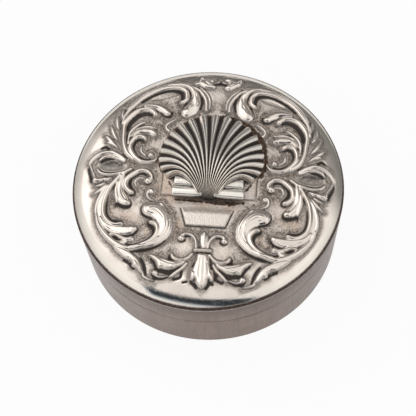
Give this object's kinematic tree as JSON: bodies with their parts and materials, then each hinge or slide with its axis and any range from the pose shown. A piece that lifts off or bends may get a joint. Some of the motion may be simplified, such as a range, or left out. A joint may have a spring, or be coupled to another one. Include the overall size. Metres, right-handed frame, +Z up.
{
  "type": "round silver box",
  "caption": "Low round keepsake box with a lift-off domed lid, stamped all over with acanthus scrolls and carrying an applied cast scallop shell.",
  "frame": {"origin": "middle of the flat underside, on the surface that the box stands on", "axes": "+Z up through the lid, -Y the front, towards which the shell's hinge edge looks, +X to the right seen from the front"},
  "size_m": [0.07, 0.07, 0.0305],
  "materials": {
    "plain_silver": "satin",
    "collar_silver": "satin",
    "stamped_silver": "polished",
    "cast_silver": "polished",
    "solder": "satin",
    "cement": "satin"
  },
  "bodies": {
    "base": {"base_floor": "plain_silver", "base_wall": "plain_silver", "floor_solder": "solder", "collar": "collar_silver", "collar_solder": "solder"},
    "lid": {"lid_skirt": "plain_silver", "lid_top": "stamped_silver", "lid_solder": "solder", "shell": "cast_silver", "shell_bed": "cement"}
  },
  "joints": [
    {"name": "lid_lift", "type": "slide", "parent": "base", "child": "lid", "axis": [0, 0, 1], "range_m": [0, 0.04]}
  ]
}
